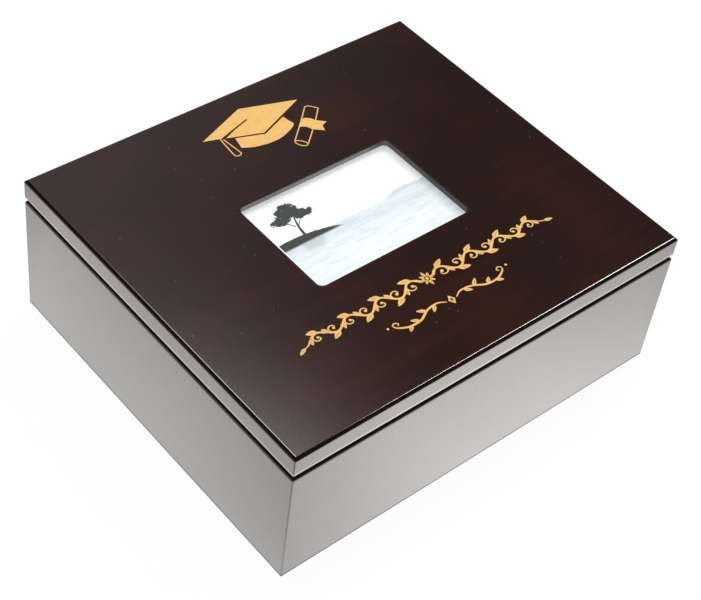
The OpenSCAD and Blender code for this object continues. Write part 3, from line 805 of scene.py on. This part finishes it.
ridge = shore.noise(0.024, detail=4, roughness=0.6, stretch=(1, 0.0001, 0.0001))
hill_top = horizon - 4.5 + ridge * 15 * u.ramp(-20, 58)
hills = (v - hill_top).ramp(0.5, -0.5) * v.ramp(horizon - 0.1, horizon + 0.1)
picture = shore.mix(hills * 0.8, picture, print_hill)
grass = shore.noise(0.0012, detail=3, roughness=0.7, stretch=(1, 0.4, 1))
rise = 1 - ((u + 44) * (u + 44)) * 0.00085
land_top = horizon - 3.6 + rise * 6.2 + grass * 1.6
land = (v - land_top).ramp(0.2, -0.2) * v.ramp(horizon - 4.2, horizon - 2.2) * u.ramp(-6, -14)
leaves = shore.noise(0.0026, detail=4, roughness=0.7)
crown = None
for middle_u, middle_v, half_w, half_h in (
    (-31.0, 24.5, 9.0, 5.0),
    (-38.5, 20.5, 6.5, 3.6),
    (-23.0, 20.0, 7.5, 3.4),
    (-30.0, 29.0, 5.5, 3.2),
):
    wide = (u - middle_u) * (1 / half_w)
    tall = (v - middle_v) * (1 / half_h)
    lump = wide * wide + tall * tall
    crown = lump if crown is None else crown.least(lump)
crown = (crown + (leaves - 0.5) * 3.4).ramp(1.15, 0.85)
up_trunk = v - horizon
lean = up_trunk * up_trunk * 0.012
trunk = (abs(u + 33.5 - lean) + up_trunk * 0.035).ramp(1.25, 0.95)
bough = (abs(u + 34.0 + (v - 13) * 0.62) + (v - 13) * 0.03).ramp(0.60, 0.40) * v.ramp(12, 13)
twig = (abs(u + 32.4 - (v - 12) * 1.05) + (v - 12) * 0.03).ramp(0.55, 0.35) * v.ramp(11, 12)
branches = trunk.most(bough).most(twig) * v.ramp(horizon - 1, horizon) * v.ramp(27, 24)
dark = land.most(crown).most(branches)
picture = shore.mix(dark * 0.97, picture, print_dark)
mirror = (abs(u + 33) + (horizon - v) * 0.25 + ripples * 6).ramp(14, 9) * v.ramp(horizon - 15, horizon - 3)
picture = shore.mix(mirror * v.ramp(horizon - 2.0, horizon - 3.4) * 0.42, picture, print_mirror)
margin = (u + 52.4).ramp(0.15, -0.15).most((v + 33.8).ramp(0.15, -0.15))
picture = shore.mix(margin, picture, (1, 1, 1))
shore.surface(
    {
        "Base Color": shore.mix(0.35, picture, (0, 0, 0)),
        "Roughness": 0.34 + grass * 0.06,
        "Emission Color": picture,
        "Emission Strength": print_glow,
        "Normal": shore.bump(grass, 0.000006),
    }
)
dress(["picture_print"], shore.owner)

# Window pane --------------------------------------------------------------------------------------
# Clear float glass with seamed edges, laid on the ledge of the window. There is a faint wipe of dust
# on it, and a thin film of air between it and the print.
pane_seam = 0.0003
air_film = 0.00008

pane = new_finish("pane_glass")
wipe = pane.noise(0.012, detail=5, roughness=0.7, stretch=(0.5, 1, 1))
clear = pane.node("ShaderNodeBsdfTransparent", None, {"Color": (1, 1, 1)})
gloss = pane.node("ShaderNodeBsdfGlossy", None, {"Color": (1, 1, 1), "Roughness": 0.02 + wipe * 0.03})
outer_face = 1 - pane.node("ShaderNodeNewGeometry").out("Backfacing")
lit = 1 - pane.node("ShaderNodeLightPath").out("Is Shadow Ray")
gleam = pane.node("ShaderNodeFresnel", None, {"IOR": 1.48}) * outer_face * lit
glass = pane.node("ShaderNodeMixShader", None, {0: gleam, 1: clear, 2: gloss})
pane.node("ShaderNodeOutputMaterial", None, {"Surface": glass})
pane_low, pane_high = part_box("window_pane")
pane_middle = (pane_low + pane_high) / 2
pane_size = pane_high - pane_low
pane_foot = pane_low.z + air_film
pane_rings = []
for inset, height in (
    (pane_seam, pane_foot),
    (0, pane_foot + pane_seam),
    (0, pane_high.z - pane_seam),
    (pane_seam, pane_high.z),
):
    loop = rounded_ring(pane_size.x - 2 * inset, pane_size.y - 2 * inset, 0.0006, 12, 8, 3)
    pane_rings.append([Vector((pane_middle.x + spot.x, pane_middle.y + spot.y, height)) for spot in loop])
pane_shape = bmesh.new()
join_rings(pane_shape, pane_rings, False)
glass_pane = make_piece("glass_pane", pane_shape, "lid", pane.owner, smooth=False)
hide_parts("window_pane")

# Backing board ------------------------------------------------------------------------------------
# Brown hardboard that presses the print against the pane. It shows from inside the open lid.
board_brown = (0.36, 0.27, 0.17)
board_dark = (0.25, 0.17, 0.10)
board_fleck = (0.13, 0.08, 0.05)

board_finish = new_finish("hardboard")
pulp = board_finish.noise(0.0030, detail=5, roughness=0.7)
flecks = board_finish.cells(0.0022).ramp(0.22, 0.14)
press = board_finish.noise(0.00050, detail=2)
brown = board_finish.mix(pulp.ramp(0.35, 0.68), board_brown, board_dark)
brown = board_finish.mix(flecks * 0.6, brown, board_fleck)
board_finish.surface(
    {
        "Base Color": brown,
        "Roughness": 0.62 + pulp * 0.15,
        "Normal": board_finish.bump(press + flecks * 0.3, 0.00008),
    }
)
dress(["backing_board"], board_finish.owner)

# Lid lining ---------------------------------------------------------------------------------------
# A velvet card like those of the case, glued under the lid, with an opening for the backing board.
opening_w = 0.162
opening_d = 0.124

lining_low, lining_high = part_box("lid_lining")
lining_thick = lining_high.z - lining_low.z
outer = rounded_ring(lining_high.x - lining_low.x, lining_high.y - lining_low.y, 0.0015, 64, 54, 4)
inner = rounded_ring(opening_w, opening_d, 0.0015, 64, 54, 4)
strip_rings = []
face = card_insets + [0.015]
course = [(0, inset, stands) for inset, stands in card_sides] + [(0, inset, None) for inset in face]
course += [(0.5, 0.022, None)]
course += [(1, inset, None) for inset in reversed(face)]
course += [(1, inset, stands) for inset, stands in reversed(card_sides)]
for edge, inset, stands in course:
    ring = []
    for from_edge, to_hole in zip(outer, inner):
        gap = to_hole - from_edge
        if edge == 0:
            spot = from_edge + gap.normalized() * inset
        elif edge == 1:
            spot = to_hole - gap.normalized() * inset
        else:
            spot = from_edge + gap / 2
        rise = wrapped_height(spot, inset, lining_thick) if stands is None else stands
        ring.append(Vector((spot.x, spot.y, lining_high.z - rise)))
    strip_rings.append(ring)
lid_card_shape = bmesh.new()
join_rings(lid_card_shape, strip_rings, True)
lid_card = make_piece("lid_velvet", lid_card_shape, "lid", velvet.owner)
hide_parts("lid_lining")

# Turn buttons -------------------------------------------------------------------------------------
# Four small stamped brass plates that turn on round-head screws and hold the backing board.
buttons = [f"turn_button_{place}" for place in ("front_left", "front_right", "back_left", "back_right")]
dress(buttons, brass_plate)
dress(["turn_button_screws"], brass_stud)

# Hinge leaves of the lid --------------------------------------------------------------------------
# The upper leaf of each hinge, of the same brushed brass, let into the lid and screwed.
dress(["hinge_left_lid_leaf", "hinge_right_lid_leaf"], brass_leaf)
dress(["hinge_lid_screws"], brass_stud)

# Lid stay -----------------------------------------------------------------------------------------
# A brass angle under the lid carries the slotted arm on a headed rivet. The arm's slot slides over
# the stud of the case, and its end stops the lid when it stands open.
brass_arm = brass("brass_arm", 2)
dress(["stay_lid_bracket"], brass_plate)
dress(["stay_arm"], brass_arm)
dress(["stay_rivet", "stay_lid_screws"], brass_stud)

# Floor --------------------------------------------------------------------------------------------
# White paper, a hair under the felt, and evenly white to the eye. The lacquer mirrors it warm and
# fading away from the box, with a brightness of its own in front of each face.
floor_drop = 0.0001

paper_mesh = bpy.data.meshes.new("floor")
paper_mesh.from_pydata([(-6, -6, 0), (6, -6, 0), (6, 6, 0), (-6, 6, 0)], [], [(0, 1, 2, 3)])
paper_sheet = bpy.data.objects.new("floor", paper_mesh)
paper_sheet.location.z = -floor_drop
bpy.context.scene.collection.objects.link(paper_sheet)

paper = new_finish("floor_paper")
across, deep, _ = paper.axes()
path = paper.node("ShaderNodeLightPath")
seen = path.out("Is Camera Ray").most(path.out("Is Transmission Ray"))
mirrored = path.out("Is Glossy Ray")
past_x = (abs(across) - case_high.x).most(0)
past_y = (abs(deep) - case_high.y).most(0)
away = past_x.most(past_y)
left_side = across.ramp(-0.120, -0.170)
left_share = 0.554 + deep.ramp(-0.13, 0.02) * 0.096 + deep.ramp(0.02, 0.16) * 0.042
left_share = left_share * (1 - away * 4.3).most(0.22)
front_share = 0.90 - across.ramp(0, -0.15) * 0.267 - across.ramp(0.06, 0.19) * 0.171
front_share = front_share * (1 - away * 3.2)
share = (left_side * left_share + (1 - left_side) * front_share).most(0.04)
glow = paper.node("ShaderNodeEmission", None, {"Color": (1, 1, 1), "Strength": 1.04})
warm = paper.node("ShaderNodeEmission", None, {"Color": (1, 0.985, 0.960), "Strength": 1.2})
black = paper.node("ShaderNodeEmission", None, {"Color": (0, 0, 0), "Strength": 0.0})
matt = paper.node("ShaderNodeBsdfDiffuse", None, {"Color": (0.98, 0.98, 0.98)})
shown = paper.node("ShaderNodeMixShader", None, {0: seen * 0.90, 1: matt, 2: glow})
bright = paper.node("ShaderNodeMixShader", None, {0: share, 1: black, 2: warm})
both = paper.node("ShaderNodeMixShader", None, {0: mirrored, 1: shown, 2: bright})
paper.node("ShaderNodeOutputMaterial", None, {"Surface": both})
paper_sheet.data.materials.append(paper.owner)


# Lamps and room -----------------------------------------------------------------------------------
# A round soft box high at the back, a tall strip lamp at the right, and an even pale room. The room
# gives what the lacquer mirrors: the lamps with soft edges, a small one by the lens, and darkness.
def toward(azimuth, elevation):
    """A direction. Azimuth is from +Y towards +X, and both angles are in degrees."""
    turn = math.radians(azimuth)
    rise = math.radians(elevation)
    return Vector((math.sin(turn) * math.cos(rise), math.cos(turn) * math.cos(rise), math.sin(rise)))


def lamp(name, azimuth, elevation, half_wide, half_tall, radiance, shape):
    """A soft lamp on a far sphere, for matt surfaces. All angles are in degrees."""
    far = 6.0
    out = toward(azimuth, elevation)
    data = bpy.data.lights.new(name, "AREA")
    data.shape = shape
    data.size = 2 * far * math.tan(math.radians(half_wide))
    data.size_y = 2 * far * math.tan(math.radians(half_tall))
    area = data.size * data.size_y * (math.pi / 4 if shape == "ELLIPSE" else 1)
    data.energy = radiance * math.pi * area
    made = bpy.data.objects.new(name, data)
    made.location = out * far
    made.rotation_mode = "QUATERNION"
    made.rotation_quaternion = out.to_track_quat("Z", "Y")
    made.visible_glossy = False
    bpy.context.scene.collection.objects.link(made)


def nearness(way, direction):
    """The cosine of the angle between a ray's way and a direction."""
    return way.finish.node("ShaderNodeVectorMath", {"operation": "DOT_PRODUCT"}, {0: way, 1: direction})


def cosine(degrees):
    return math.cos(math.radians(degrees))


lamp("soft_box", 20, 68, 16, 16, 3.6, "ELLIPSE")
lamp("strip_lamp", 77, 53, 4.5, 9, 20, "RECTANGLE")

room_pale = 0.45
room_dark = 0.015

room = Finish(bpy.data.worlds.new("room"))
bpy.context.scene.world = room.owner
path = room.node("ShaderNodeLightPath")
seen = path.out("Is Camera Ray").most(path.out("Is Transmission Ray"))
mirrored = path.out("Is Glossy Ray") * path.out("Diffuse Depth").ramp(1.0, 0.5)
way = room.node("ShaderNodeTexCoord").out("Generated")
parts = room.node("ShaderNodeSeparateXYZ", None, {"Vector": way})
azimuth = parts.math("ARCTAN2", parts.out("X"), parts.out("Y")) * math.degrees(1)
elevation = parts.math("ARCSINE", parts.out("Z")) * math.degrees(1)
to_box = nearness(way, toward(33, 60.3))
from_box = to_box.math("ARCCOSINE", to_box) * math.degrees(1)
soft_box = from_box.math("POWER", (1.712 - from_box * 0.0847).most(0).least(1), 5) * 1.5
strip = azimuth.ramp(71.5, 73.0) * azimuth.ramp(82.5, 81.0)
strip = strip * elevation.ramp(43, 50) * elevation.ramp(62.5, 56.5) * 11
soft_box = soft_box + nearness(way, toward(26, 57)).ramp(cosine(8), cosine(4)) * 1.5
flash = nearness(way, toward(-136, 18)).ramp(cosine(15), cosine(10)) * 22
haze = azimuth.ramp(51, 28) * azimuth.ramp(-5, 15) * 0.092
in_lacquer = room_dark + haze + soft_box + strip + flash
strength = room_pale + (in_lacquer - room_pale) * mirrored
strength = strength + (1 - strength) * seen
light = room.node("ShaderNodeBackground", None, {"Color": (1, 1, 1), "Strength": strength})
room.node("ShaderNodeOutputWorld", None, {"Surface": light})
